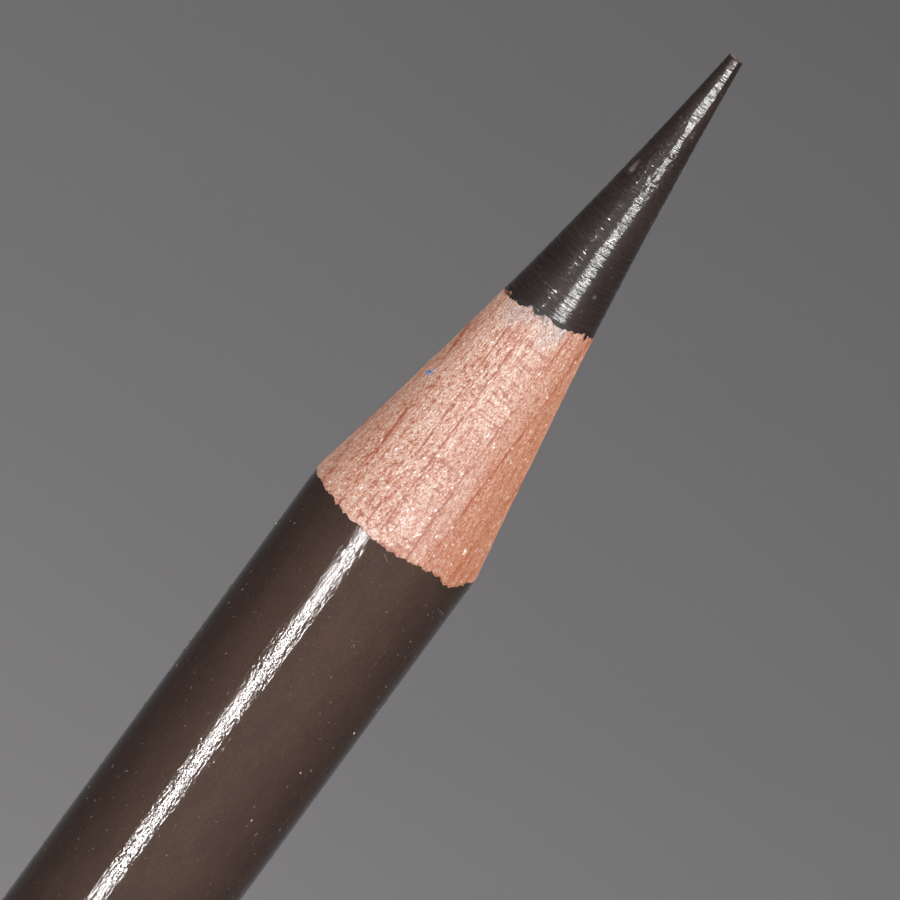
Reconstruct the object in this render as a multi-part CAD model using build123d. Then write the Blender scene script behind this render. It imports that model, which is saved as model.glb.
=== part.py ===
"""Round wood-cased artists' pencil, freshly sharpened.

Millimetres. The pencil stands on its dipped end: the origin is the centre of the flat end face,
and +Z runs along the barrel axis to the point. The two casing halves meet in the plane y = 0.
"""
from build123d import *
import os
from math import hypot, sqrt

# Overall
LENGTH = 175.0                # end face to point
BARREL_RADIUS = 3.80          # over the lacquer
SHARPENED_LENGTH = 22.9       # point back to the full barrel
POINT_RADIUS = 0.27           # worn flat on the point
POINT_CHAMFER = 0.05          # broken corner round that flat
FLARE_HOLLOW = 0.255          # how far the cut dips below a straight cone, half way along

# Core and the glue that holds it
CORE_RADIUS = 1.95
CORE_OFFSET = (-0.052, 0.009) # the groove never ends up quite central
BOND_THICKNESS = 0.04
GLUE_THICKNESS = 0.06         # film between the two casing halves

# Films on the barrel, from the wood outwards
PRIMER_THICKNESS = 0.03
LACQUER_THICKNESS = 0.04

# Lacquer dip on the far end
DIP_LENGTH = 6.0
DIP_FLOOR = 0.60              # thickness over the sawn end
DIP_LIP = 0.03                # how far its upper edge stands proud of the barrel
DIP_BELLY = 0.07              # how far it stands proud where it is fullest
DIP_ROUNDING = 0.55

# Radii and levels that follow
PRIMER_RADIUS = BARREL_RADIUS - LACQUER_THICKNESS
WOOD_RADIUS = PRIMER_RADIUS - PRIMER_THICKNESS
GROOVE_RADIUS = CORE_RADIUS + BOND_THICKNESS
SHOULDER_Z = LENGTH - SHARPENED_LENGTH
SAWN_Z = DIP_FLOOR
CUTTER_CLEARANCE = 1.0        # how far raw stock runs past the shapes that trim it

# The sharpened flare is one long arc from the shoulder to the point
FLARE_START = (BARREL_RADIUS, SHOULDER_Z)
FLARE_END = (POINT_RADIUS + POINT_CHAMFER, LENGTH - POINT_CHAMFER)
FLARE_CHORD = hypot(FLARE_START[0] - FLARE_END[0], FLARE_START[1] - FLARE_END[1])
FLARE_ARC_RADIUS = (FLARE_CHORD ** 2 / 4 + FLARE_HOLLOW ** 2) / (2 * FLARE_HOLLOW)
FLARE_OUTWARD = (
    (FLARE_END[1] - FLARE_START[1]) / FLARE_CHORD,
    (FLARE_START[0] - FLARE_END[0]) / FLARE_CHORD,
)
FLARE_CENTRE = (
    (FLARE_START[0] + FLARE_END[0]) / 2 + FLARE_OUTWARD[0] * (FLARE_ARC_RADIUS - FLARE_HOLLOW),
    (FLARE_START[1] + FLARE_END[1]) / 2 + FLARE_OUTWARD[1] * (FLARE_ARC_RADIUS - FLARE_HOLLOW),
)


def flare_z(radius):
    """Height at which the flare has this radius."""
    rise = sqrt(FLARE_ARC_RADIUS ** 2 - (FLARE_CENTRE[0] - radius) ** 2)
    return FLARE_CENTRE[1] - rise


def flare_point(radius):
    return (radius, flare_z(radius))


def flare_arc(outer_radius, inner_radius):
    """The stretch of the flare between two radii, as an arc of the current line builder."""
    middle = (outer_radius + inner_radius) / 2
    ThreePointArc(flare_point(outer_radius), flare_point(middle), flare_point(inner_radius))


def raw_rod(radius, centre=(0, 0)):
    """Unsharpened round stock from the sawn end to past the point."""
    height = LENGTH + CUTTER_CLEARANCE - SAWN_Z
    x, y = centre
    return Pos(x, y, SAWN_Z) * Cylinder(radius, height, align=(Align.CENTER, Align.CENTER, Align.MIN))


def sharpened_envelope():
    """Everything that the sharpener leaves: the barrel, the hollow-ground flare and the worn point."""
    with BuildPart() as envelope:
        with BuildSketch(Plane.XZ):
            with BuildLine():
                Polyline((0, LENGTH), (0, 0), (BARREL_RADIUS, 0), FLARE_START)
                flare_arc(BARREL_RADIUS, FLARE_END[0])
                Polyline(FLARE_END, (POINT_RADIUS, LENGTH), (0, LENGTH))
            make_face()
        revolve(axis=Axis.Z)
    return envelope.part


def half_space(side):
    """Block on one side of the seam plane, half a glue film away from it; side is -1 or +1 along Y."""
    width = 2 * (BARREL_RADIUS + CUTTER_CLEARANCE)
    depth = BARREL_RADIUS + CUTTER_CLEARANCE
    height = LENGTH + 2 * CUTTER_CLEARANCE
    block = Box(width, depth, height, align=(Align.CENTER, Align.MIN, Align.MIN))
    block = Pos(0, GLUE_THICKNESS / 2, 0) * block
    return block if side > 0 else Rot(0, 0, 180) * block


def core(envelope):
    """Pigment rod, running the whole length and ending in the worn point."""
    return raw_rod(CORE_RADIUS, CORE_OFFSET) & envelope


def core_bond(envelope):
    """Sleeve of glue between the core and its groove."""
    sleeve = raw_rod(GROOVE_RADIUS, CORE_OFFSET) - raw_rod(CORE_RADIUS, CORE_OFFSET)
    return sleeve & envelope


def grooved_stock():
    """Both casing halves as one piece: round stock with the core's groove through it."""
    return raw_rod(WOOD_RADIUS) - raw_rod(GROOVE_RADIUS, CORE_OFFSET)


def casing_half(envelope, side):
    """Cedar half with its half-round groove; side is -1 for the front half and +1 for the back one."""
    return grooved_stock() & half_space(side) & envelope


def glue_line(envelope, side):
    """Film in the seam plane from the groove to the outside of the wood; side is -1 or +1 along X."""
    reach = BARREL_RADIUS + CUTTER_CLEARANCE
    height = LENGTH + 2 * CUTTER_CLEARANCE
    film = Box(reach, GLUE_THICKNESS, height, align=(Align.MIN, Align.CENTER, Align.MIN))
    film = film if side > 0 else Rot(0, 0, 180) * film
    return grooved_stock() & film & envelope


def coat(inner_radius, outer_radius):
    """One film round the barrel, cut to a feather edge where the flare runs out through it."""
    with BuildPart() as film:
        with BuildSketch(Plane.XZ):
            with BuildLine():
                Polyline(
                    flare_point(inner_radius),
                    (inner_radius, SAWN_Z),
                    (outer_radius, SAWN_Z),
                    flare_point(outer_radius),
                )
                flare_arc(outer_radius, inner_radius)
            make_face()
        revolve(axis=Axis.Z)
    return film.part


def end_dip():
    """Cup of thick lacquer: a slightly bellied side, a rounded rim and a flat face to stand on."""
    lip = (BARREL_RADIUS + DIP_LIP, DIP_LENGTH)
    belly = (BARREL_RADIUS + DIP_BELLY, DIP_LENGTH / 2)
    rim = (BARREL_RADIUS + DIP_LIP, DIP_ROUNDING)
    corner = (rim[0] - DIP_ROUNDING * (1 - sqrt(0.5)), DIP_ROUNDING * (1 - sqrt(0.5)))
    foot = (rim[0] - DIP_ROUNDING, 0)
    with BuildPart() as dip:
        with BuildSketch(Plane.XZ):
            with BuildLine():
                Polyline(foot, (0, 0), (0, SAWN_Z), (BARREL_RADIUS, SAWN_Z), (BARREL_RADIUS, DIP_LENGTH), lip)
                ThreePointArc(lip, belly, rim)
                ThreePointArc(rim, corner, foot)
            make_face()
        revolve(axis=Axis.Z)
    return dip.part


def build_parts():
    """Every piece of the pencil by node name."""
    envelope = sharpened_envelope()
    return {
        "core": core(envelope),
        "core_bond": core_bond(envelope),
        "casing_half_front": casing_half(envelope, -1),
        "casing_half_back": casing_half(envelope, +1),
        "glue_line_left": glue_line(envelope, -1),
        "glue_line_right": glue_line(envelope, +1),
        "primer_coat": coat(WOOD_RADIUS, PRIMER_RADIUS),
        "lacquer_coat": coat(PRIMER_RADIUS, BARREL_RADIUS),
        "end_dip": end_dip(),
    }


os.makedirs("parts", exist_ok=True)
for node, piece in build_parts().items():
    export_step(piece, f"parts/{node}.step")
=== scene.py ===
"""Looks for the sharpened pencil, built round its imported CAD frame.

Meshes are worked out in millimetres and stored in metres. Azimuths are in degrees round the barrel: 0 faces
-Y, 90 faces +X, where one of the two slat seams lies. Heights run up +Z, from the dipped end to the point.
"""

from math import cos, hypot, pi, radians, sin

import bpy
import numpy as np
from mathutils import Matrix, Vector


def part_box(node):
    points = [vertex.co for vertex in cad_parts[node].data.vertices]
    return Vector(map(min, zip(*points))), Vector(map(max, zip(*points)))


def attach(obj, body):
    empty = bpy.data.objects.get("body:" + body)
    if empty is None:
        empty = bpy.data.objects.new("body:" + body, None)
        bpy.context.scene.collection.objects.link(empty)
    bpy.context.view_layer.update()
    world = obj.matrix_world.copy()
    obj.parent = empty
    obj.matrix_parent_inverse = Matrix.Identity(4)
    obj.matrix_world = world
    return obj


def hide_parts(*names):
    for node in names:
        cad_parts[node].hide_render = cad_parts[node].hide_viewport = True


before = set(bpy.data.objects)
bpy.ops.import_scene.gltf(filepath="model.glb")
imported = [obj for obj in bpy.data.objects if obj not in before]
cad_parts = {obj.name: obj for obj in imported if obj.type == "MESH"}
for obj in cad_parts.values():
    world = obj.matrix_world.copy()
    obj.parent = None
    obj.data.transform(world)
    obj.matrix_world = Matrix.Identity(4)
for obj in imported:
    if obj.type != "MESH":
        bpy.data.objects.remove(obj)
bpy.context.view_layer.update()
MM = 0.001


def box_mm(node):
    low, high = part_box(node)
    return np.array(low) / MM, np.array(high) / MM


# Sizes that the frame gives
CORE_LOW, CORE_HIGH = box_mm("core")
BOND_LOW, BOND_HIGH = box_mm("core_bond")
SLAT_LOW, SLAT_HIGH = box_mm("casing_half_front")
LENGTH = CORE_HIGH[2]
SAWN_Z = CORE_LOW[2]
CORE_RADIUS = (CORE_HIGH[0] - CORE_LOW[0]) / 2
CORE_OFFSET = (CORE_HIGH[:2] + CORE_LOW[:2]) / 2
GROOVE_RADIUS = (BOND_HIGH[0] - BOND_LOW[0]) / 2
WOOD_RADIUS = -SLAT_LOW[1]
SEAM_GAP = -SLAT_HIGH[1]
PRIMER_RADIUS = box_mm("primer_coat")[1][0]
BARREL_RADIUS = box_mm("lacquer_coat")[1][0]
DIP_TOP = box_mm("end_dip")[1][2]

# The sharpened flare, as the design draws it: one shallow arc from the shoulder to the point
SHARPENED_LENGTH = 22.9
POINT_RADIUS = 0.27
POINT_CHAMFER = 0.05
FLARE_HOLLOW = 0.255
SHOULDER_Z = LENGTH - SHARPENED_LENGTH
FLARE_START = (BARREL_RADIUS, SHOULDER_Z)
FLARE_END = (POINT_RADIUS + POINT_CHAMFER, LENGTH - POINT_CHAMFER)
FLARE_CHORD = hypot(FLARE_START[0] - FLARE_END[0], FLARE_START[1] - FLARE_END[1])
FLARE_ARC_RADIUS = (FLARE_CHORD ** 2 / 4 + FLARE_HOLLOW ** 2) / (2 * FLARE_HOLLOW)
FLARE_CENTRE = (
    (FLARE_START[0] + FLARE_END[0]) / 2
    + (FLARE_END[1] - FLARE_START[1]) / FLARE_CHORD * (FLARE_ARC_RADIUS - FLARE_HOLLOW),
    (FLARE_START[1] + FLARE_END[1]) / 2
    + (FLARE_START[0] - FLARE_END[0]) / FLARE_CHORD * (FLARE_ARC_RADIUS - FLARE_HOLLOW),
)

# Viewpoint
CAMERA_AZIMUTH = 30.0
CAMERA_ELEVATION = 13.0
CAMERA_ROLL = 36.17
CAMERA_AIM_Z = 155.7
CAMERA_DISTANCE = 585.0
CAMERA_LENS = 600.0
SENSOR_WIDTH = 36.0


def flare_radius(z):
    """Radius of the sharpened surface at a height."""
    return FLARE_CENTRE[0] - np.sqrt(FLARE_ARC_RADIUS ** 2 - (z - FLARE_CENTRE[1]) ** 2)


def flare_z(radius):
    """Height at which the sharpened surface has a radius."""
    return FLARE_CENTRE[1] - np.sqrt(FLARE_ARC_RADIUS ** 2 - (FLARE_CENTRE[0] - radius) ** 2)


# ---------------------------------------------------------------- numbers and noise


def linear(red, green, blue):
    """Scene-linear colour of an 8-bit display colour."""
    share = np.array([red, green, blue]) / 255
    return np.where(share <= 0.04045, share / 12.92, ((share + 0.055) / 1.055) ** 2.4)


def smooth_noise(rng, shape, blur):
    """Random field of zero mean and unit spread, blurred by so many cells each way, wrapping both ways."""
    waves = np.fft.rfft2(rng.standard_normal(shape))
    rows = np.fft.fftfreq(shape[0])[:, None]
    columns = np.fft.rfftfreq(shape[1])[None, :]
    waves *= np.exp(-2 * pi ** 2 * ((rows * blur[0]) ** 2 + (columns * blur[1]) ** 2))
    field = np.fft.irfft2(waves, shape)
    return (field - field.mean()) / field.std()


def smooth_line(rng, count, blur):
    """The same along one direction only."""
    return smooth_noise(rng, (count, 1), (blur, 0))[:, 0]


def step(value, low, high):
    """0 below low, 1 above high, smooth between."""
    share = np.clip((value - low) / (high - low), 0, 1)
    return share * share * (3 - 2 * share)


def bump_at(value, centre, width):
    """Bell curve of height 1."""
    return np.exp(-((value - centre) / width) ** 2)


def mix(first, second, share):
    """Colours between two, for an array of shares."""
    share = np.clip(share, 0, 1)[..., None]
    return first * (1 - share) + second * share


def on_rod(azimuth, radius, offset=(0, 0)):
    """Distance from the barrel axis to an off-centre rod's surface, along azimuths in radians."""
    along = offset[0] * np.sin(azimuth) - offset[1] * np.cos(azimuth)
    return along + np.sqrt(radius ** 2 - offset[0] ** 2 - offset[1] ** 2 + along ** 2)


def turn_from(azimuth, place):
    """Turn in radians from a place in degrees to azimuths in radians, the short way round."""
    return np.angle(np.exp(1j * (azimuth - radians(place))))


def to_points(radius, azimuth, z):
    """Points from radii, azimuths in radians and heights."""
    radius, azimuth, z = np.broadcast_arrays(radius, azimuth, z)
    return np.stack([radius * np.sin(azimuth), -radius * np.cos(azimuth), z], axis=-1)


# ---------------------------------------------------------------- mesh building


SHARP_ANGLE = 55              # edges that fold more than so many degrees are shaded sharp
SLIVER_TIP_SHARE = 0.35       # width of a splinter at its tip, as a share of the width at its root
OFF_AXIS = (0.3, 0.5, 0.8)    # a direction along which no splinter lies


class Shape:
    """Vertices, faces, vertex colours and shares of gloss gathered for one piece."""

    def __init__(self):
        self.points = []
        self.colours = []
        self.gloss = []
        self.faces = []
        self.count = 0

    def add_points(self, points, colours, gloss=1.0):
        """Adds an array of points and returns their numbers in the same layout."""
        points = np.asarray(points, float)
        numbers = self.count + np.arange(points[..., 0].size).reshape(points.shape[:-1])
        self.points.append(points.reshape(-1, 3))
        self.colours.append(np.broadcast_to(colours, points.shape).reshape(-1, 3))
        self.gloss.append(np.full((points[..., 0].size, 1), gloss))
        self.count += points[..., 0].size
        return numbers

    def add_sheet(self, numbers):
        """Quads over a grid of point numbers."""
        corners = (numbers[:-1, :-1], numbers[:-1, 1:], numbers[1:, 1:], numbers[1:, :-1])
        self.faces.extend(np.stack(corners, axis=-1).reshape(-1, 4).tolist())

    def add_fan(self, ring, centre, colour, upward):
        """Closes a ring of point numbers with triangles to one more point."""
        middle = int(self.add_points(np.array([centre]), colour)[0])
        for first, second in zip(ring.tolist(), np.roll(ring, -1).tolist()):
            self.faces.append([first, second, middle] if upward else [second, first, middle])

    def add_stitch(self, left, right, flip):
        """Triangles between two rows of point numbers that both run upwards."""
        heights = np.concatenate(self.points)[:, 2]
        i = j = 0
        while i < len(left) - 1 or j < len(right) - 1:
            left_next = j == len(right) - 1 or (
                i < len(left) - 1 and heights[left[i + 1]] <= heights[right[j + 1]])
            face = [int(left[i]), int(right[j]), int(left[i + 1] if left_next else right[j + 1])]
            self.faces.append(face[::-1] if flip else face)
            i, j = (i + 1, j) if left_next else (i, j + 1)

    def add_sliver(self, path, width, colour):
        """A closed splinter or hair, four-sided, tapering along a few points to its tip."""
        path = np.asarray(path, float)
        along = path[-1] - path[0]
        side = np.cross(along, OFF_AXIS)
        side /= np.linalg.norm(side)
        up = np.cross(along, side)
        up /= np.linalg.norm(up)
        rings = []
        for share, point in zip(np.linspace(1, SLIVER_TIP_SHARE, len(path)), path):
            corners = [point + width / 2 * share * (side * cos(turn) + up * sin(turn))
                       for turn in (0, pi / 2, pi, 3 * pi / 2)]
            rings.append(self.add_points(corners, colour))
        grid = np.array([np.append(ring, ring[0]) for ring in rings])
        self.add_sheet(grid)
        self.add_fan(rings[0], path[0], colour, False)
        self.add_fan(rings[-1], path[-1], colour, True)

    def finish(self, name):
        """The piece made of everything added so far."""
        mesh = bpy.data.meshes.new(name)
        mesh.from_pydata((np.concatenate(self.points) * MM).tolist(), [], self.faces)
        tints = np.hstack([np.concatenate(self.colours), np.concatenate(self.gloss)])
        tint = mesh.attributes.new("tint", "FLOAT_COLOR", "POINT")
        tint.data.foreach_set("color", tints.astype(np.float32).ravel())
        mesh.polygons.foreach_set("use_smooth", np.ones(len(mesh.polygons), bool))
        mesh.set_sharp_from_angle(angle=radians(SHARP_ANGLE))
        mesh.validate()
        piece = bpy.data.objects.new(name, mesh)
        bpy.context.scene.collection.objects.link(piece)
        return piece


def closed_round(numbers):
    """A grid of point numbers with its first column again at the end, to close it round the axis."""
    return np.hstack([numbers, numbers[:, :1]])


def declare(piece, slot, material, *nodes):
    """Gives a finished piece its material and body, and hides the CAD nodes that it stands for; the slot is
    not used.
    """
    piece.data.materials.append(material)
    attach(piece, "root")
    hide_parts(*nodes)
    return piece


# ---------------------------------------------------------------- materials


class Nodes:
    """Short way to build one node material."""

    def __init__(self, name):
        self.material = bpy.data.materials.new(name)
        self.material.use_nodes = True
        self.tree = self.material.node_tree
        self.shader = self.tree.nodes["Principled BSDF"]
        self.place = self.add("ShaderNodeTexCoord").outputs["Object"]

    def add(self, kind, **values):
        """A node with its plain properties and its input sockets' values set by name."""
        node = self.tree.nodes.new(kind)
        for key, value in values.items():
            if key in node.inputs:
                self.feed(node.inputs[key], value)
            else:
                setattr(node, key, value)
        return node

    def feed(self, socket, value):
        if isinstance(value, bpy.types.NodeSocket):
            self.tree.links.new(value, socket)
        else:
            socket.default_value = value

    def set(self, **values):
        """Sets or links the shader's sockets; an underscore stands for a space."""
        for key, value in values.items():
            self.feed(self.shader.inputs[key.replace("_", " ")], value)

    def noise(self, across, along, detail=2.0, roughness=0.5):
        """Noise with so many features per millimetre across the axis and along it."""
        stretched = self.add("ShaderNodeVectorMath", operation="MULTIPLY")
        self.feed(stretched.inputs[0], self.place)
        stretched.inputs[1].default_value = (across / MM, across / MM, along / MM)
        node = self.add("ShaderNodeTexNoise", Detail=detail, Roughness=roughness, Scale=1.0)
        self.feed(node.inputs["Vector"], stretched.outputs[0])
        return node.outputs["Fac"]

    def math(self, operation, first, second=0.5):
        node = self.add("ShaderNodeMath", operation=operation)
        self.feed(node.inputs[0], first)
        self.feed(node.inputs[1], second)
        return node.outputs[0]

    def remap(self, value, low, high, to_low=0.0, to_high=1.0):
        """Value between two bounds, carried over to two others and held there."""
        node = self.add("ShaderNodeMapRange")
        for socket, number in zip(("Value", "From Min", "From Max", "To Min", "To Max"),
                                  (value, low, high, to_low, to_high)):
            self.feed(node.inputs[socket], number)
        return node.outputs["Result"]

    def mixed(self, share, first, second, blend="MIX"):
        node = self.add("ShaderNodeMix", data_type="RGBA", blend_type=blend)
        self.feed(node.inputs["Factor"], share)
        for socket, value in (("A", first), ("B", second)):
            colour_socket = [s for s in node.inputs if s.name == socket and s.type == "RGBA"][0]
            self.feed(colour_socket, value if isinstance(value, bpy.types.NodeSocket) else (*value, 1.0))
        return [s for s in node.outputs if s.type == "RGBA"][0]

    def tint(self):
        """The colour worked out for each vertex."""
        return self.add("ShaderNodeAttribute", attribute_name="tint").outputs["Color"]

    def gloss(self):
        """The share of polish worked out for each vertex."""
        return self.add("ShaderNodeAttribute", attribute_name="tint").outputs["Alpha"]

    def relief(self, *layers):
        """Bump from (height, depth in millimetres) pairs, chained."""
        normal = None
        for height, depth in layers:
            node = self.add("ShaderNodeBump", Strength=1.0, Distance=depth * MM)
            self.feed(node.inputs["Height"], height)
            if normal is not None:
                self.feed(node.inputs["Normal"], normal)
            normal = node.outputs["Normal"]
        return normal


def cedar_material():
    """Freshly cut cedar: fibres, pores and a dry, slightly silky surface."""
    nodes = Nodes("cedar_cut")
    fibres = nodes.noise(across=26, along=8, detail=2, roughness=0.65)
    grit = nodes.noise(across=34, along=20, detail=2, roughness=0.6)
    both = nodes.math("ADD", nodes.math("MULTIPLY", fibres, 0.5), nodes.math("MULTIPLY", grit, 0.5))
    contrast = nodes.remap(both, 0.42, 0.58)
    dark = nodes.mixed(1.0, nodes.tint(), tuple(linear(214, 156, 124)), "MULTIPLY")
    light = nodes.mixed(1.0, nodes.tint(), (1.08, 1.22, 1.30), "MULTIPLY")
    nodes.set(
        Base_Color=nodes.mixed(contrast, dark, light),
        Roughness=0.55,
        Diffuse_Roughness=1.0,
        Specular_IOR_Level=0.4,
        Sheen_Weight=0.12,
        Sheen_Roughness=0.45,
        Sheen_Tint=(1.0, 0.42, 0.26, 1.0),
        Normal=nodes.relief((fibres, 0.009), (grit, 0.006)),
    )
    return nodes.material


def pigment_material():
    """Dense dark core, burnished by the blade, with fine scratches round it."""
    nodes = Nodes("pigment_core")
    grooves = nodes.noise(across=1.6, along=9.5, detail=2, roughness=0.5)
    scratches = nodes.noise(across=1.0, along=9, detail=1)
    grain = nodes.noise(across=16, along=16, detail=2)
    shade = nodes.mixed(nodes.remap(grain, 0.35, 0.7), (0.75, 0.75, 0.75), (1.3, 1.26, 1.24))
    surface = nodes.relief((grain, 0.0035), (scratches, 0.014), (grooves, 0.028))
    nodes.set(
        Base_Color=nodes.mixed(1.0, nodes.tint(), shade, "MULTIPLY"),
        Roughness=0.45,
        Specular_IOR_Level=0.1,
        Coat_Weight=nodes.gloss(),
        Coat_IOR=1.3,
        Coat_Roughness=0.09,
        Normal=surface,
        Coat_Normal=surface,
    )
    return nodes.material


def lacquer_material(name):
    """Glossy lacquer, drawn along the barrel: faint ridges, orange peel and dust under the film."""
    nodes = Nodes(name)
    ridges = nodes.noise(across=13, along=0.09, detail=1)
    ripples = nodes.noise(across=8.5, along=4.0, detail=2, roughness=0.6)
    peel = nodes.noise(across=16, along=9, detail=1)
    mottle = nodes.noise(across=1.2, along=0.6, detail=2)
    speckle = nodes.noise(across=9, along=6, detail=2)
    clouds = nodes.mixed(nodes.remap(mottle, 0.35, 0.65), (0.93, 0.93, 0.93), (1.07, 1.06, 1.05))
    grains = nodes.mixed(nodes.remap(speckle, 0.35, 0.65), (0.92, 0.92, 0.92), (1.09, 1.09, 1.09))
    shade = nodes.mixed(1.0, clouds, grains, "MULTIPLY")
    surface = nodes.relief((ridges, 0.0044), (ripples, 0.0108), (peel, 0.002))
    nodes.set(
        Base_Color=nodes.mixed(1.0, nodes.tint(), shade, "MULTIPLY"),
        Roughness=0.8,
        Specular_IOR_Level=0.0,
        Coat_Weight=1.0,
        Coat_IOR=1.26,
        Coat_Tint=(0.28, 0.235, 0.215, 1.0),
        Coat_Roughness=0.09,
        Normal=surface,
        Coat_Normal=surface,
    )
    return nodes.material


def primer_material():
    """Chalky undercoat."""
    nodes = Nodes("primer_film")
    grain = nodes.noise(across=12, along=12)
    nodes.set(
        Base_Color=nodes.mixed(grain, tuple(linear(96, 82, 74)), tuple(linear(150, 134, 122))),
        Roughness=0.7,
        Normal=nodes.relief((grain, 0.004)),
    )
    return nodes.material


def glue_material():
    """Dried wood glue, amber and slightly glossy."""
    nodes = Nodes("dried_glue")
    grain = nodes.noise(across=10, along=6)
    nodes.set(
        Base_Color=nodes.mixed(grain, tuple(linear(168, 108, 78)), tuple(linear(200, 140, 106))),
        Roughness=0.45,
        Normal=nodes.relief((grain, 0.004)),
    )
    return nodes.material


def bond_material():
    """Glue stained by the core, dragged over by the blade."""
    nodes = Nodes("stained_glue")
    grain = nodes.noise(across=18, along=18, detail=3)
    nodes.set(
        Base_Color=nodes.mixed(grain, tuple(linear(24, 20, 19)), tuple(linear(52, 45, 43))),
        Roughness=0.6,
        Specular_IOR_Level=0.2,
        Normal=nodes.relief((grain, 0.012)),
    )
    return nodes.material


def floor_material():
    """Plain matt paper."""
    nodes = Nodes("floor_paper")
    grain = nodes.noise(across=0.02, along=0.02, detail=3)
    nodes.set(
        Base_Color=nodes.mixed(grain, (0.500, 0.484, 0.498), (0.530, 0.514, 0.528)),
        Roughness=1.0,
        Specular_IOR_Level=0.0,
    )
    return nodes.material


# ---------------------------------------------------------------- core

CORE_CELL = 0.04              # height of a mesh row
CORE_COLUMNS = 220
CORE_STEM = (20, 60, 100, 140)    # heights of the few rows further down
CORE_HEAD_DROP = 1.0          # how far the fine rows run on inside the casing
PIGMENT = linear(56, 46, 43)
PIGMENT_WARM = linear(92, 58, 42)
PIGMENT_DUST = linear(120, 112, 108)
PIGMENT_WORN = linear(62, 45, 38)

# Depth in millimetres of what the blade leaves on the core
SCRATCH_DEPTH = 0.0026
CHATTER_DEPTH = 0.0026
WAVE_DEPTH = 0.003
BLOTCH_DEPTH = 0.0075
ROUGH_ZONE = (5.2, 1.6)       # where the blotches are: distance from the point and half-length

WORN_FLAT_AZIMUTH = 39.0      # the side of the point that use has flattened
WORN_FLAT_ENDS = (3.8, 2.4)   # the flat sets in between these distances from the point
WORN_FLAT_DEPTH = 0.06        # as a share of the radius
WORN_GLOSS = 0.1              # share of the polish that is left on the blunt point

# Rings of the blunt point: share of its radius and rise in millimetres
POINT_RINGS = ((1.0, 0.0), (0.93, 0.035), (0.86, 0.05), (0.6, 0.05), (0.3, 0.045))
POINT_TILT = 0.035            # rise of its rim on the higher side
POINT_SINK = 0.02             # keeps the ragged rings under the pencil's full length

# Loose flakes on the core: azimuth in degrees, height, half-width and half-height in millimetres
CORE_FLAKES = ((-18.0, 169.3, 0.10, 0.20), (66.0, 171.6, 0.06, 0.10), (140.0, 166.0, 0.12, 0.15))


def build_core(rng):
    """The pigment rod with its sharpened cone: scratched round by the blade, and blunt at the point."""
    azimuth = np.linspace(0, 2 * pi, CORE_COLUMNS, endpoint=False)
    rod = on_rod(azimuth, CORE_RADIUS, CORE_OFFSET)
    cone_foot = flare_z(CORE_RADIUS) - CORE_HEAD_DROP
    heights = np.arange(cone_foot, FLARE_END[1], CORE_CELL)
    shape = (len(heights), CORE_COLUMNS)
    z = heights[:, None]
    radius = flare_radius(z) * np.ones(CORE_COLUMNS)
    scratches = smooth_noise(rng, shape, (0.8, 14))
    chatter = smooth_noise(rng, shape, (1.6, 10))
    waves = smooth_noise(rng, shape, (16, 12))
    blotch = smooth_noise(rng, shape, (1.4, 1.8))
    rough_zone = bump_at(z, LENGTH - ROUGH_ZONE[0], ROUGH_ZONE[1])
    fade = np.clip(radius / 1.2, 0.35, 1)
    radius = radius + fade * (SCRATCH_DEPTH * scratches + CHATTER_DEPTH * chatter + WAVE_DEPTH * waves)
    radius = radius + fade * rough_zone * BLOTCH_DEPTH * blotch
    flat_foot, flat_full = (LENGTH - distance for distance in WORN_FLAT_ENDS)
    worn_flat = WORN_FLAT_DEPTH * step(z, flat_foot, flat_full) * (1 + 0.12 * waves)
    toward_flat = np.cos(azimuth - radians(WORN_FLAT_AZIMUTH))
    radius = np.minimum(radius, flare_radius(z) * (1.015 - worn_flat) / np.maximum(toward_flat, 0.2))
    hidden = radius > rod
    radius = np.minimum(radius, rod)
    pits = step(smooth_noise(rng, shape, (1.2, 1.6)), 2.4, 3.2)
    flecks = step(smooth_noise(rng, shape, (1.0, 1.2)), 2.7, 3.4)
    tone = mix(PIGMENT, PIGMENT * 0.72, 0.5 + 0.3 * smooth_noise(rng, shape, (10, 14)))
    tone = mix(tone, PIGMENT_WARM, flecks * 0.8)
    tone = mix(tone, PIGMENT_DUST, pits * 0.5)
    for place, height, width, rise in CORE_FLAKES:
        away = turn_from(azimuth, place) * radius
        patch = bump_at(away, 0, width) * bump_at(z, height, rise)
        tone = mix(tone, PIGMENT_DUST, np.clip(2.0 * patch * (0.7 + 0.5 * chatter), 0, 1))
    tone[hidden] = PIGMENT
    core = Shape()
    stem = np.array([SAWN_Z, SAWN_Z + 1, *CORE_STEM, cone_foot - 0.5])[:, None]
    stem_points = to_points(rod, azimuth, stem * np.ones(CORE_COLUMNS))
    grid = [core.add_points(stem_points, PIGMENT), core.add_points(to_points(radius, azimuth, z), tone)]
    chip = smooth_line(rng, CORE_COLUMNS, 9)
    crumble = smooth_line(rng, CORE_COLUMNS, 2.5)
    tilt = POINT_TILT * np.cos(azimuth - radians(CAMERA_AZIMUTH - 70))
    top = radius[-1]
    for share, rise in POINT_RINGS:
        ragged = rise + tilt * share + (0.012 * chip + 0.006 * crumble) * share - POINT_SINK
        ring_z = np.minimum(heights[-1] + ragged + CORE_CELL, LENGTH)
        ring = to_points(top * share, azimuth, ring_z)[None]
        grid.append(core.add_points(ring, PIGMENT_WORN, WORN_GLOSS))
    numbers = np.vstack(grid)
    core.add_sheet(closed_round(numbers))
    core.add_fan(numbers[-1], (0, 0, LENGTH - POINT_SINK), PIGMENT, True)
    core.add_fan(numbers[0], (*CORE_OFFSET, SAWN_Z), PIGMENT, False)
    return core.finish("core_visual")


# ---------------------------------------------------------------- cut edge of the films

FILM_COLUMNS = 420

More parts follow.
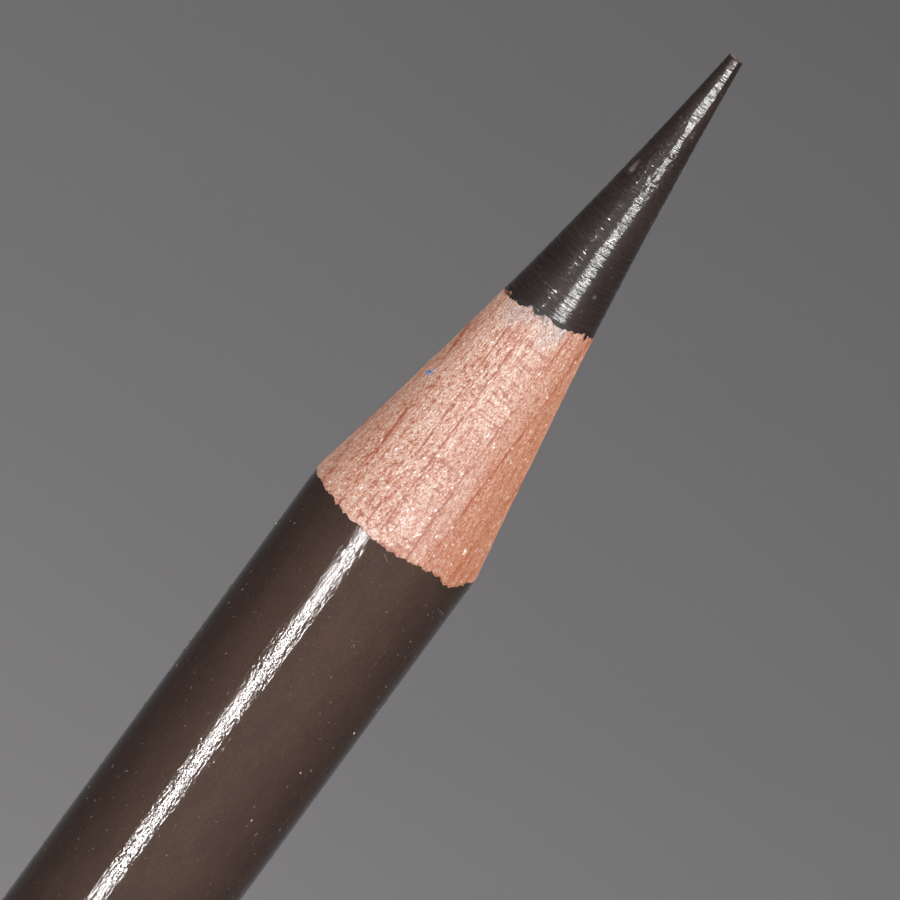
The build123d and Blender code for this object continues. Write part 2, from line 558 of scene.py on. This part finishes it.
# Where the cut edge dips: azimuth and spread in degrees, depth in millimetres
CHIPS = (
    (38.0, 42.0, 0.17), (86.0, 11.0, 0.36), (150.0, 30.0, 0.15), (-130.0, 35.0, 0.22), (-70.0, 20.0, 0.10),
)

# Its finer outline: blur in mesh columns and depth in millimetres
EDGE_SWAY = (18, 0.03)
EDGE_WAVES = (1.6, 0.026)
EDGE_TEETH = (0.6, 0.032)
EDGE_BITES = (1.3, 0.06)
EDGE_DROP = 0.03              # how far it lies below the shoulder, chips apart


def cut_edge(rng, azimuth):
    """Height of the films' chipped edge round the barrel: a slow sway with waves, teeth and small bites."""
    sway = EDGE_SWAY[1] * smooth_line(rng, FILM_COLUMNS, EDGE_SWAY[0])
    waves = EDGE_WAVES[1] * smooth_line(rng, FILM_COLUMNS, EDGE_WAVES[0])
    teeth = EDGE_TEETH[1] * smooth_line(rng, FILM_COLUMNS, EDGE_TEETH[0])
    bites = EDGE_BITES[1] * step(smooth_line(rng, FILM_COLUMNS, EDGE_BITES[0]), 1.2, 2.2)
    deep = np.zeros_like(azimuth)
    for place, width, depth in CHIPS:
        deep = deep + depth * bump_at(np.degrees(turn_from(azimuth, place)), 0, width)
    return SHOULDER_Z - EDGE_DROP - deep + sway + waves + teeth - bites


EDGE_AZIMUTH = np.linspace(0, 2 * pi, FILM_COLUMNS, endpoint=False)
EDGE_HEIGHT = cut_edge(np.random.default_rng(61), EDGE_AZIMUTH)


def film_edge(azimuth):
    """Height of the chipped edge at any azimuth."""
    return np.interp(azimuth, EDGE_AZIMUTH, EDGE_HEIGHT, period=2 * pi)


# ---------------------------------------------------------------- casing

WOOD_CELL = 0.04              # height of a mesh row
SLAT_COLUMNS = 270
SLAT_STEM = (5, 15, 40, 70, 100, 130, 148)    # heights of the few rows further down
SLAT_HEAD_DROP = 1.2          # how far the fine rows run on under the films
GRAIN_AZIMUTH = 30.0          # seen from this azimuth, the growth rings are edge-on
WOOD_PALE = linear(238, 220, 206)
WOOD_MID = linear(224, 180, 156)
WOOD_RED = linear(178, 96, 60)
# Amber used partly as painted shade towards the sides of the half that faces the camera
WOOD_AMBER_SIDE_SHADE = linear(197, 134, 98)
# Pale colour of loose fibres and crumbs, also used for the painted glints on the cut wood
WOOD_WHITE_AND_GLINT = linear(255, 250, 246)
SMUDGE = linear(206, 198, 194)
BLUE_FLECK = linear(64, 150, 222)

# A blue fleck on the front slat: azimuths in degrees with heights, its width and its lift off the wood
BLUE_FLECK_PATH = ((-34.2, 157.90), (-32.8, 158.04), (-31.2, 158.20))
BLUE_FLECK_WIDTH = 0.16
BLUE_FLECK_LIFT = 0.015

FRAYED_RISE = 0.052           # how far the cut end of the slats swells where the films have chipped away
WOOD_LIFT = 0.003             # how far the cut wood stands above the smooth flare
SLAT_RISE = 0.15              # how far it reaches up over the core, notch apart
HAIR_COUNT = 46               # on each slat
CRUMB_COUNT = 70

# Growth rings: place across the grain and width, in millimetres, and strength
GROWTH_RINGS = (
    (-3.3, 0.03, 0.4), (-2.28, 0.032, 0.75), (-0.97, 0.03, 0.42), (-0.35, 0.03, 0.48),
    (1.09, 0.032, 0.55), (1.87, 0.035, 0.65), (2.96, 0.035, 0.6), (3.5, 0.03, 0.4),
)


def wood_noise(rng, shape, along, across):
    """Noise with features of so many millimetres along the axis and across it."""
    return smooth_noise(rng, shape, (along / WOOD_CELL, across / WOOD_CELL))


def wood_fields(rng, azimuth, radius):
    """Relief in millimetres and colour of the cut wood over a grid of points, with a painted sheen band,
    painted glints and painted shade towards the sides.
    """
    shape = radius.shape
    grain = radius * np.sin(azimuth - radians(GRAIN_AZIMUTH))
    fibres = wood_noise(rng, shape, 0.075, 0.022)
    fine = wood_noise(rng, shape, 0.024, 0.016)
    streaks = wood_noise(rng, shape, 1.6, 0.04)
    swell = wood_noise(rng, shape, 1.5, 1.2)
    patches = wood_noise(rng, shape, 0.45, 0.16)
    breaks = wood_noise(rng, shape, 0.5, 0.3)
    marks = wood_noise(rng, shape, 0.03, 0.32)
    # Painted highlight: the band of the cone facing the camera where the sheen box is mirrored; cut marks,
    # pale patches and glints are painted stronger in it
    sheen_band = step(grain, -0.25, 0.15) * (1 - step(grain, 0.85, 1.25))
    facing = np.cos(azimuth - radians(GRAIN_AZIMUTH)) > 0
    rings = np.zeros(shape)
    for place, width, strength in GROWTH_RINGS:
        offset = grain - place - 0.02 * swell
        trail = 0.30 * np.exp(-np.clip(offset, 0, None) / 0.12) * (offset > 0)
        rings += strength * (bump_at(offset, 0, width) + trail) * step(breaks, -1.6, 0.4)
    # Redder towards both sides of the half that faces the camera: partly latewood, partly painted shade of
    # the grazing sides
    latewood_and_side_shade = step(grain, 1.5, 2.4) * 0.16 + step(-grain, 2.1, 2.6) * 0.06
    # Cut marks, real all over, painted stronger in the sheen band on the camera's side where the sheen box
    # shows them up
    cut_marks_and_sheen = step(marks, 0.7, 1.9) * (0.2 + 0.9 * sheen_band * facing)
    tears = step(wood_noise(rng, shape, 0.09, 0.04), 1.5, 2.8)
    redness = 0.36 + 0.18 * fibres + 0.22 * fine + 0.10 * streaks + 1.5 * rings + latewood_and_side_shade + 0.34 * cut_marks_and_sheen
    # Pale patches, painted paler in the sheen band as painted highlight
    redness -= 0.12 * np.clip(patches, -1, 2) * (0.4 + sheen_band)
    tone = mix(WOOD_PALE, WOOD_MID, redness * 2)
    tone = mix(tone, WOOD_RED, redness * 2 - 1)
    # Amber towards the camera's right side and less on the left: painted shade of the sides, partly the
    # wood's own colour
    tone = mix(tone, WOOD_AMBER_SIDE_SHADE, 0.64 * step(grain, -0.8, 2.6) + 0.24 * step(-grain, 1.2, 2.6))
    # Painted highlight: white specks that stand for glints off the fibres, gathered in the sheen band
    painted_glint = step(smooth_noise(rng, shape, (1.1, 0.9)) + 0.5 * sheen_band, 1.8, 2.5)
    tone = mix(tone, WOOD_RED, 0.60 * np.clip(rings, 0, 1) + 0.40 * np.clip(cut_marks_and_sheen, 0, 1))
    tone = mix(tone, WOOD_WHITE_AND_GLINT, painted_glint)
    relief = 0.0042 * fibres + 0.0028 * fine + 0.0022 * streaks + 0.008 * swell
    relief -= 0.007 * tears + 0.004 * cut_marks_and_sheen + 0.004 * np.clip(rings, 0, 1)
    return relief, tone


def smudge_near_core(rng, tone, depth, azimuth):
    """Pigment dragged by the blade on to the wood, over the last millimetre below the core."""
    patches = smooth_noise(rng, depth.shape, (5, 7))
    specks = smooth_noise(rng, depth.shape, (1.6, 1.0))
    smeared = step(np.cos(azimuth - radians(CAMERA_AZIMUTH - 12)), 0.62, 0.86)
    smeared = np.maximum(smeared, 0.7 * step(np.cos(azimuth - radians(CAMERA_AZIMUTH + 170)), 0.5, 0.9))
    veil = np.clip(1.15 - depth / 0.85 + 0.30 * patches, 0, 1) * 0.8 * smeared
    tone = mix(tone, SMUDGE, veil)
    dark = np.clip(1.0 - depth / (0.12 + 0.45 * smeared), 0, 1) * step(specks, 0.2, 1.2)
    return mix(tone, PIGMENT, dark * 0.85)


# A splinter broken out of the casing beside the core: place and spread in degrees, depth in millimetres
NOTCH_AZIMUTH = 89.0
NOTCH_SPREAD = 2.4
NOTCH_DEPTH = 0.42


def build_slat(rng, name, middle):
    """One casing half, its middle at an azimuth in degrees: grooved, flat at the seams, sharpened."""
    share = np.linspace(-1, 1, SLAT_COLUMNS)[None, :]
    columns = np.ones((1, SLAT_COLUMNS))

    def azimuths(radius):
        """Azimuths that end half a glue film short of the seam plane at any radius."""
        return radians(middle) + share * np.arccos(SEAM_GAP / radius)

    groove = on_rod(azimuths(GROOVE_RADIUS), GROOVE_RADIUS, CORE_OFFSET)
    foot = SHOULDER_Z - SLAT_HEAD_DROP
    natural = flare_z(groove)
    waves = smooth_line(rng, SLAT_COLUMNS, 11)
    teeth = smooth_line(rng, SLAT_COLUMNS, 2.6)
    notch = bump_at(np.degrees(azimuths(GROOVE_RADIUS)), NOTCH_AZIMUTH, NOTCH_SPREAD)
    top = natural + SLAT_RISE + 0.06 * waves + 0.05 * teeth - NOTCH_DEPTH * notch
    rows = int((natural.mean() - foot) / WOOD_CELL)
    rise = np.linspace(0, 1, rows)[:, None]
    z = foot + rise * (top - foot)
    azimuth = azimuths(np.minimum(flare_radius(z), WOOD_RADIUS))
    above = z - film_edge(azimuth)
    bare = np.minimum(flare_radius(z), WOOD_RADIUS + FRAYED_RISE * step(above, -0.03, 0.03))
    azimuth = azimuths(bare)
    relief, tone = wood_fields(rng, azimuth, bare)
    tone = smudge_near_core(rng, tone, np.clip(top - z, 0, None), azimuth)
    radius = bare + step(above, -0.04, 0.04) * (relief + WOOD_LIFT)
    stem = np.array([SAWN_Z, SAWN_Z + 1, *SLAT_STEM, foot - 0.4])[:, None]
    slat = Shape()
    stem_points = to_points(WOOD_RADIUS * columns, azimuths(WOOD_RADIUS), stem * columns)
    stem_out = slat.add_points(stem_points, WOOD_MID)
    cone = slat.add_points(to_points(radius, azimuths(radius), z), tone)
    inner_z = np.minimum(top, natural) - 0.004
    inner_top = slat.add_points(to_points(groove, azimuths(groove), inner_z), WOOD_MID)
    groove_z = np.append(stem[:, 0], [foot + 4, foot + 8])[::-1, None]
    groove_points = to_points(groove * np.ones_like(groove_z), azimuths(groove), groove_z * columns)
    stem_in = slat.add_points(groove_points, WOOD_MID)
    outer = np.vstack([stem_out, cone])
    inner = np.vstack([inner_top, stem_in])
    loop = np.vstack([outer, inner, outer[:1]])
    slat.add_sheet(loop)
    slat.add_stitch(outer[:, 0], inner[::-1, 0], False)
    slat.add_stitch(outer[:, -1], inner[::-1, -1], True)
    add_hairs(slat, rng, middle)
    add_torn_edge(slat, rng, middle)
    if middle == 0:
        path = [to_points(flare_radius(z) + BLUE_FLECK_LIFT, radians(turn), z)
                for turn, z in BLUE_FLECK_PATH]
        slat.add_sliver(path, BLUE_FLECK_WIDTH, BLUE_FLECK)
    return slat.finish(name)


def add_hairs(slat, rng, middle):
    """Loose fibres that stand off the cut wood."""
    for _ in range(HAIR_COUNT):
        z = rng.uniform(flare_z(WOOD_RADIUS) + 0.1, flare_z(GROOVE_RADIUS) - 0.4)
        azimuth = radians(middle + rng.uniform(-84, 84))
        length = rng.uniform(0.10, 0.32)
        lean = rng.uniform(0.25, 0.6) * (1 if rng.random() < 0.7 else -1)
        surface = flare_radius(z)
        root = to_points(surface - 0.01, azimuth, z)
        bend = to_points(surface + length * 0.22, azimuth + rng.normal(0, 0.02), z + length * lean * 0.6)
        tip = to_points(surface + length * 0.45, azimuth + rng.normal(0, 0.05), z + length * lean)
        slat.add_sliver([root, bend, tip], rng.uniform(0.012, 0.02), WOOD_WHITE_AND_GLINT * rng.uniform(0.7, 1.0))


def add_torn_edge(slat, rng, middle):
    """Crumbs and torn fibres left along the cut edge of the films."""
    radius = WOOD_RADIUS + FRAYED_RISE
    for _ in range(CRUMB_COUNT):
        azimuth = radians(middle + rng.uniform(-87, 87))
        z = film_edge(azimuth) + rng.uniform(-0.01, 0.05)
        turn = rng.normal(0, 0.012)
        drop = rng.uniform(-0.10, 0.05)
        path = [to_points(radius - 0.01, azimuth, z),
                to_points(radius + 0.010, azimuth + turn / 2, z + drop / 2),
                to_points(radius + 0.014, azimuth + turn, z + drop)]
        shade = WOOD_WHITE_AND_GLINT if rng.random() < 0.4 else WOOD_RED
        slat.add_sliver(path, rng.uniform(0.015, 0.045), shade * rng.uniform(0.7, 1.0))


# ---------------------------------------------------------------- glue

BOND_COLUMNS = 160
BOND_STEM = (2, 30, 70, 110, 150)    # heights of its rows, its two ends apart
BOND_BROWN = linear(110, 84, 66)


def build_bond(rng):
    """The sleeve of glue round the core, ragged and smeared with pigment where the blade cut it."""
    azimuth = np.linspace(0, 2 * pi, BOND_COLUMNS, endpoint=False)[None, :]
    inner = on_rod(azimuth, CORE_RADIUS, CORE_OFFSET)
    outer = on_rod(azimuth, GROOVE_RADIUS, CORE_OFFSET)
    ragged = 0.02 * smooth_line(rng, BOND_COLUMNS, 2.0)
    middle = (inner + outer) / 2
    stem = np.array([SAWN_Z, *BOND_STEM])[:, None]
    straight = np.ones_like(stem)
    smeared = PIGMENT * 0.9
    bond = Shape()
    rise = bond.add_points(to_points(outer * straight, azimuth, stem), BOND_BROWN)
    face_out = bond.add_points(to_points(outer, azimuth, flare_z(outer) - 0.03), smeared)
    face_mid = bond.add_points(to_points(middle, azimuth, flare_z(middle) - 0.015 + ragged), smeared)
    face_in = bond.add_points(to_points(inner, azimuth, flare_z(inner) - 0.03), smeared)
    fall = bond.add_points(to_points(inner * straight, azimuth, stem[::-1]), BOND_BROWN)
    loop = np.vstack([rise, face_out, face_mid, face_in, fall, rise[:1]])
    bond.add_sheet(closed_round(loop))
    return bond.finish("core_bond_visual")


# ---------------------------------------------------------------- films on the barrel

LACQUER = linear(145, 127, 117)
DUST = linear(255, 250, 244)
BLUE_LINT = linear(110, 200, 255)
PINK_LINT = linear(255, 90, 140)

DUST_COUNT = 900
FIBRE_COUNT = 26
PRIMER_SETBACK = 0.75         # how far below the lacquer's edge the undercoat ends
FILM_INSIDE = (150.5, 140, 100, 60, 20)          # heights of the rows on a film's inner face
PRIMER_HEIGHTS = (20, 60, 100, 140, 150, 151)    # and on the undercoat's outer face

# Ridges drawn along the lacquer: azimuth in degrees, width and height in millimetres
DRAW_LINES = (
    (10.6, 0.09, 0.0060), (13.2, 0.08, 0.0018), (24.2, 0.09, 0.0060), (27.8, 0.07, 0.0040),
    (31.5, 0.08, 0.0012), (2.0, 0.12, 0.0016), (-14.0, 0.15, 0.0020), (52.0, 0.15, 0.0016),
    (74.0, 0.12, 0.0020), (118.0, 0.14, 0.0018), (152.0, 0.10, 0.0022), (171.0, 0.12, 0.0018),
    (-46.0, 0.12, 0.0018), (-92.0, 0.14, 0.0020), (-133.0, 0.1, 0.0022),
)

# The few bits that stand out on the lacquer: points by azimuth in degrees, distance below the shoulder and
# rise off the surface, then width and colour
LINT = (
    (((31.6, 1.05, 0), (32.4, 0.9, 0.01), (33.2, 0.72, 0)), 0.03, BLUE_LINT),
    (((35.0, 0.42, 0), (37.0, 0.50, 0.03), (39.5, 0.62, 0.02)), 0.07, DUST),
    (((40.5, 3.0, 0), (40.8, 2.97, 0.01), (41.1, 2.94, 0)), 0.06, PINK_LINT),
    (((50.0, 4.05, 0), (54.0, 3.9, 0.005), (58.0, 4.0, 0.005), (61.0, 4.25, 0)), 0.022, DUST * 0.7),
)


def graded_heights(foot, top):
    """Heights that crowd together towards the cut edge, where the film is seen closest."""
    near = np.arange(top - 2, top, 0.05)
    middle = np.arange(top - 15, top - 2, 0.22)
    far = np.linspace(foot, top - 15, 60, endpoint=False)
    return np.concatenate([far, middle, near, [top]])


def build_film(inner, outer, colour, heights, edge, relief):
    """One film round the barrel, from the sawn end to its edge; relief is a function of a grid."""
    azimuth = np.linspace(0, 2 * pi, FILM_COLUMNS, endpoint=False)[None, :]
    z = SAWN_Z + (heights[:, None] - SAWN_Z) / (heights[-1] - SAWN_Z) * (edge - SAWN_Z)
    radius = np.minimum(outer, flare_radius(z)) - relief(z, azimuth)
    film = Shape()
    body = film.add_points(to_points(radius, azimuth, z), colour)
    thin = (radius[-1] - inner)[None, :]
    worn = film.add_points(to_points(inner + 0.7 * thin, azimuth, edge + 0.002), colour)
    lip = film.add_points(to_points(inner + 0.2 * thin, azimuth, edge + 0.004), colour)
    inside_z = np.array([*FILM_INSIDE, SAWN_Z])[:, None]
    under = film.add_points(to_points(inner, azimuth, edge - 0.02), colour)
    inside = film.add_points(to_points(inner * np.ones_like(inside_z), azimuth, inside_z), colour)
    film.add_sheet(closed_round(np.vstack([body, worn, lip, under, inside, body[:1]])))
    return film


def build_lacquer(rng):
    """The coloured coat: drawn ridges, slow swells and a chipped edge, with lint and dust on it."""
    azimuth = np.linspace(0, 2 * pi, FILM_COLUMNS, endpoint=False)[None, :]

    def relief(z, azimuth):
        depth = 0.0034 + 0.0012 * np.abs(smooth_noise(rng, z.shape, (20, 12)))
        depth = depth + 0.0007 * np.abs(smooth_noise(rng, z.shape, (30, 2.0)))
        for place, width, height in DRAW_LINES:
            away = turn_from(azimuth, place) * BARREL_RADIUS
            wander = 0.03 * smooth_line(rng, z.shape[0], 9)[:, None]
            strength = step(smooth_line(rng, z.shape[0], 3)[:, None], -1.2, 0.8)
            depth = depth - height * strength * bump_at(away, wander, width)
        return depth

    heights = graded_heights(SAWN_Z, SHOULDER_Z)
    film = build_film(PRIMER_RADIUS, BARREL_RADIUS, LACQUER, heights, film_edge(azimuth), relief)
    add_dust(film, rng)
    for points, width, colour in LINT:
        film.add_sliver([on_barrel(*point) for point in points], width, colour)
    return film.finish("lacquer_visual")


def on_barrel(azimuth, below, rise=0.0):
    """Point on the lacquer, by azimuth in degrees and distance below the shoulder."""
    return to_points(BARREL_RADIUS + rise, radians(azimuth), SHOULDER_Z - below)


def add_dust(film, rng):
    """Fine specks and short fibres scattered over the lacquer."""
    for _ in range(DUST_COUNT):
        azimuth = rng.uniform(-180, 180)
        below = 0.4 + 24 * rng.random() ** 1.3
        turn = rng.normal(0, 0.5)
        length = rng.uniform(0.03, 0.11)
        path = [on_barrel(azimuth, below), on_barrel(azimuth + turn / 2, below - length / 2, 0.004),
                on_barrel(azimuth + turn, below - length)]
        film.add_sliver(path, 0.020 + 0.075 * rng.random() ** 3, DUST * rng.uniform(0.4, 1.0))
    for _ in range(FIBRE_COUNT):
        azimuth = rng.uniform(-180, 180)
        below = rng.uniform(1, 22)
        sweep = rng.normal(0, 3)
        length = rng.uniform(0.15, 0.45)
        path = [on_barrel(azimuth, below), on_barrel(azimuth + 0.7 * sweep, below - 0.4 * length, 0.003),
                on_barrel(azimuth + sweep, below - length)]
        film.add_sliver(path, rng.uniform(0.008, 0.014), DUST * rng.uniform(0.3, 0.6))


def build_primer():
    """The undercoat, set back a little from the chipped edge of the lacquer."""
    azimuth = np.linspace(0, 2 * pi, FILM_COLUMNS, endpoint=False)[None, :]
    edge = film_edge(azimuth) - PRIMER_SETBACK
    heights = np.array([SAWN_Z, *PRIMER_HEIGHTS])
    film = build_film(WOOD_RADIUS, PRIMER_RADIUS, LACQUER, heights, edge, lambda z, azimuth: 0.0)
    return film.finish("primer_visual")


# ---------------------------------------------------------------- end dip

DIP_COLUMNS = 160
DIP_ROWS = 60
DIP_ROUNDING = 0.55
DIP_WALL = 0.04               # how far the dip stands off the barrel at its lip
DIP_BEAD = 0.05               # height of the rounded lip
DIP_BELLY = 0.018             # how much further its side swells


def build_dip(rng):
    """The cup of thick lacquer on the far end, with a soft uneven lip."""
    azimuth = np.linspace(0, 2 * pi, DIP_COLUMNS, endpoint=False)[None, :]
    level = np.ones_like(azimuth)
    sag = 0.16 * smooth_line(rng, DIP_COLUMNS, 12) + 0.05 * smooth_line(rng, DIP_COLUMNS, 4)
    swell = smooth_noise(rng, (DIP_ROWS, DIP_COLUMNS), (12, 10))
    inner = BARREL_RADIUS - 0.0005
    lip_z = DIP_TOP - 0.2 + np.clip(sag, -0.5, 0.2)
    base = LACQUER * 0.95
    dip = Shape()
    rings = [dip.add_points(to_points(inner, azimuth, SAWN_Z * level), base),
             dip.add_points(to_points(inner, azimuth, lip_z), base)]

    def add_ring(radius, z):
        rings.append(dip.add_points(to_points(radius, azimuth, z), base))

    for turn in np.linspace(0, pi / 2, 6)[1:]:
        add_ring(inner + DIP_WALL * sin(turn), lip_z - DIP_BEAD * (1 - cos(turn)))
    for row, share in enumerate(np.linspace(0, 1, DIP_ROWS)):
        belly = inner + DIP_WALL + DIP_BELLY * np.sin(pi * share) + 0.0008 * swell[row]
        add_ring(belly, (lip_z - 0.12) * (1 - share) + DIP_ROUNDING * share)
    foot_radius = inner + DIP_WALL - DIP_ROUNDING
    for turn in np.linspace(0, pi / 2, 10)[1:]:
        add_ring(foot_radius + DIP_ROUNDING * cos(turn), DIP_ROUNDING * (1 - sin(turn)) * level)
    for share in (0.85, 0.6, 0.3):
        add_ring(foot_radius * share, 0 * level)
    loop = np.vstack(rings)
    dip.add_sheet(closed_round(loop)[:, ::-1])
    dip.add_fan(loop[-1], (0, 0, 0), base, False)
    dip.add_fan(loop[0], (0, 0, SAWN_Z), base, True)
    return dip.finish("end_dip_visual")


# ---------------------------------------------------------------- stage, camera and light


FLOOR_HALF = 6000.0
FLOOR_GREY = linear(86, 85, 86)
WORLD_AS_LIGHT = 0.24         # strength of the surroundings as a light, where the camera sees them at 1
SUN_STRENGTH = 0.46
SUN_SPREAD = 30

# Soft boxes, and strips that only the gloss picks up: name, azimuth from the camera's and elevation in
# degrees, height of the point faced, distance, width and height in millimetres, radiance, for gloss only
PANELS = (
    ("key_box", 24, 24, 150, 700, 420, 420, 7.2, False),
    ("fill_box", -22, 31, 150, 700, 360, 360, 4.6, False),
    ("back_box", 160, 58, 150, 700, 300, 300, 2.2, False),
    ("back_key", 180, 50, 150, 260, 160, 160, 7.0, False),
    ("gloss_strip", -23.8, 0, 70, 120, 7, 120, 250, True),
    ("gloss_strip_back", -130, 0, 48, 120, 34, 86, 5, True),
    ("sheen_box", 25, 4, 165, 300, 156, 44, 66, True),
)


def build_floor():
    """A wide sheet of plain paper."""
    floor = Shape()
    side = np.linspace(-FLOOR_HALF, FLOOR_HALF, 3)
    x, y = np.meshgrid(side, side)
    floor.add_sheet(floor.add_points(np.stack([x, y, np.zeros_like(x)], axis=-1), (0.6, 0.6, 0.6)))
    piece = floor.finish("floor")
    piece.data.materials.append(floor_material())


def direction(azimuth, elevation):
    """Unit vector from the pencil, by elevation and azimuth from the camera's, in degrees."""
    a, e = radians(azimuth + CAMERA_AZIMUTH), radians(elevation)
    return Vector((sin(a) * cos(e), -cos(a) * cos(e), sin(e)))


def place_camera():
    """A long lens, rolled, that looks down a little on the sharpened end."""
    back = direction(0, CAMERA_ELEVATION)
    up = (Vector((0, 0, 1)) - back * back.z).normalized()
    right = up.cross(back)
    roll = radians(CAMERA_ROLL)
    turned_up = cos(roll) * up - sin(roll) * right
    turned_right = cos(roll) * right + sin(roll) * up
    data = bpy.data.cameras.new("camera")
    data.sensor_width = SENSOR_WIDTH
    data.lens = CAMERA_LENS
    data.clip_start = 0.01
    data.clip_end = 20.0
    camera = bpy.data.objects.new("camera", data)
    matrix = Matrix((turned_right, turned_up, back)).transposed().to_4x4()
    matrix.translation = Vector((0, 0, CAMERA_AIM_Z * MM)) + back * CAMERA_DISTANCE * MM
    camera.matrix_world = matrix
    bpy.context.scene.collection.objects.link(camera)
    bpy.context.scene.camera = camera


def add_panel(name, azimuth, elevation, centre_z, distance, width, height, radiance, glossy_only):
    """Rectangular light that faces the axis; sizes in millimetres, radiance in scene units."""
    data = bpy.data.lights.new(name, "AREA")
    data.shape = "RECTANGLE"
    data.size = width * MM
    data.size_y = height * MM
    data.energy = radiance * pi * width * height * MM * MM
    panel = bpy.data.objects.new(name, data)
    out = direction(azimuth, elevation)
    panel.location = Vector((0, 0, centre_z * MM)) + out * distance * MM
    panel.rotation_mode = "QUATERNION"
    panel.rotation_quaternion = out.to_track_quat("Z", "Y")
    panel.visible_camera = False
    panel.visible_diffuse = not glossy_only
    bpy.context.scene.collection.objects.link(panel)


def studio_world():
    """Even grey all round: as bright as the far paper where it is seen, dimmer as a light."""
    world = bpy.data.worlds.new("studio")
    bpy.context.scene.world = world
    world.use_nodes = True
    tree = world.node_tree
    background = tree.nodes["Background"]
    background.inputs["Color"].default_value = (*FLOOR_GREY, 1.0)
    rays = tree.nodes.new("ShaderNodeLightPath")
    strength = tree.nodes.new("ShaderNodeMapRange")
    strength.inputs["To Min"].default_value = WORLD_AS_LIGHT
    strength.inputs["To Max"].default_value = 1.0
    tree.links.new(rays.outputs["Is Camera Ray"], strength.inputs["Value"])
    tree.links.new(strength.outputs["Result"], background.inputs["Strength"])


def light_scene():
    """Even light on the paper, soft boxes on both sides, and the narrow strips that the gloss picks up."""
    sun = bpy.data.lights.new("overhead", "SUN")
    sun.energy = SUN_STRENGTH
    sun.angle = radians(SUN_SPREAD)
    overhead = bpy.data.objects.new("overhead", sun)
    overhead.visible_camera = False
    bpy.context.scene.collection.objects.link(overhead)
    for panel in PANELS:
        add_panel(*panel)
    studio_world()
    bpy.context.scene.view_settings.view_transform = "Standard"


# ---------------------------------------------------------------- the scene

place_camera()
light_scene()
build_floor()

declare(build_core(np.random.default_rng(11)), "pigment", pigment_material(), "core")
cedar = cedar_material()
declare(build_slat(np.random.default_rng(21), "casing_front_visual", 0),
        "cedar", cedar, "casing_half_front")
declare(build_slat(np.random.default_rng(22), "casing_back_visual", 180),
        "cedar", cedar, "casing_half_back")
declare(build_bond(np.random.default_rng(31)), "glue", bond_material(), "core_bond")
declare(build_primer(), "primer", primer_material(), "primer_coat")
declare(build_lacquer(np.random.default_rng(42)),
        "lacquer", lacquer_material("lacquer_film"), "lacquer_coat")
declare(build_dip(np.random.default_rng(51)),
        "dip_lacquer", lacquer_material("dip_lacquer_film"), "end_dip")

seam_glue = glue_material()
for node in ("glue_line_left", "glue_line_right"):
    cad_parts[node].data.materials.clear()
    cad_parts[node].data.materials.append(seam_glue)
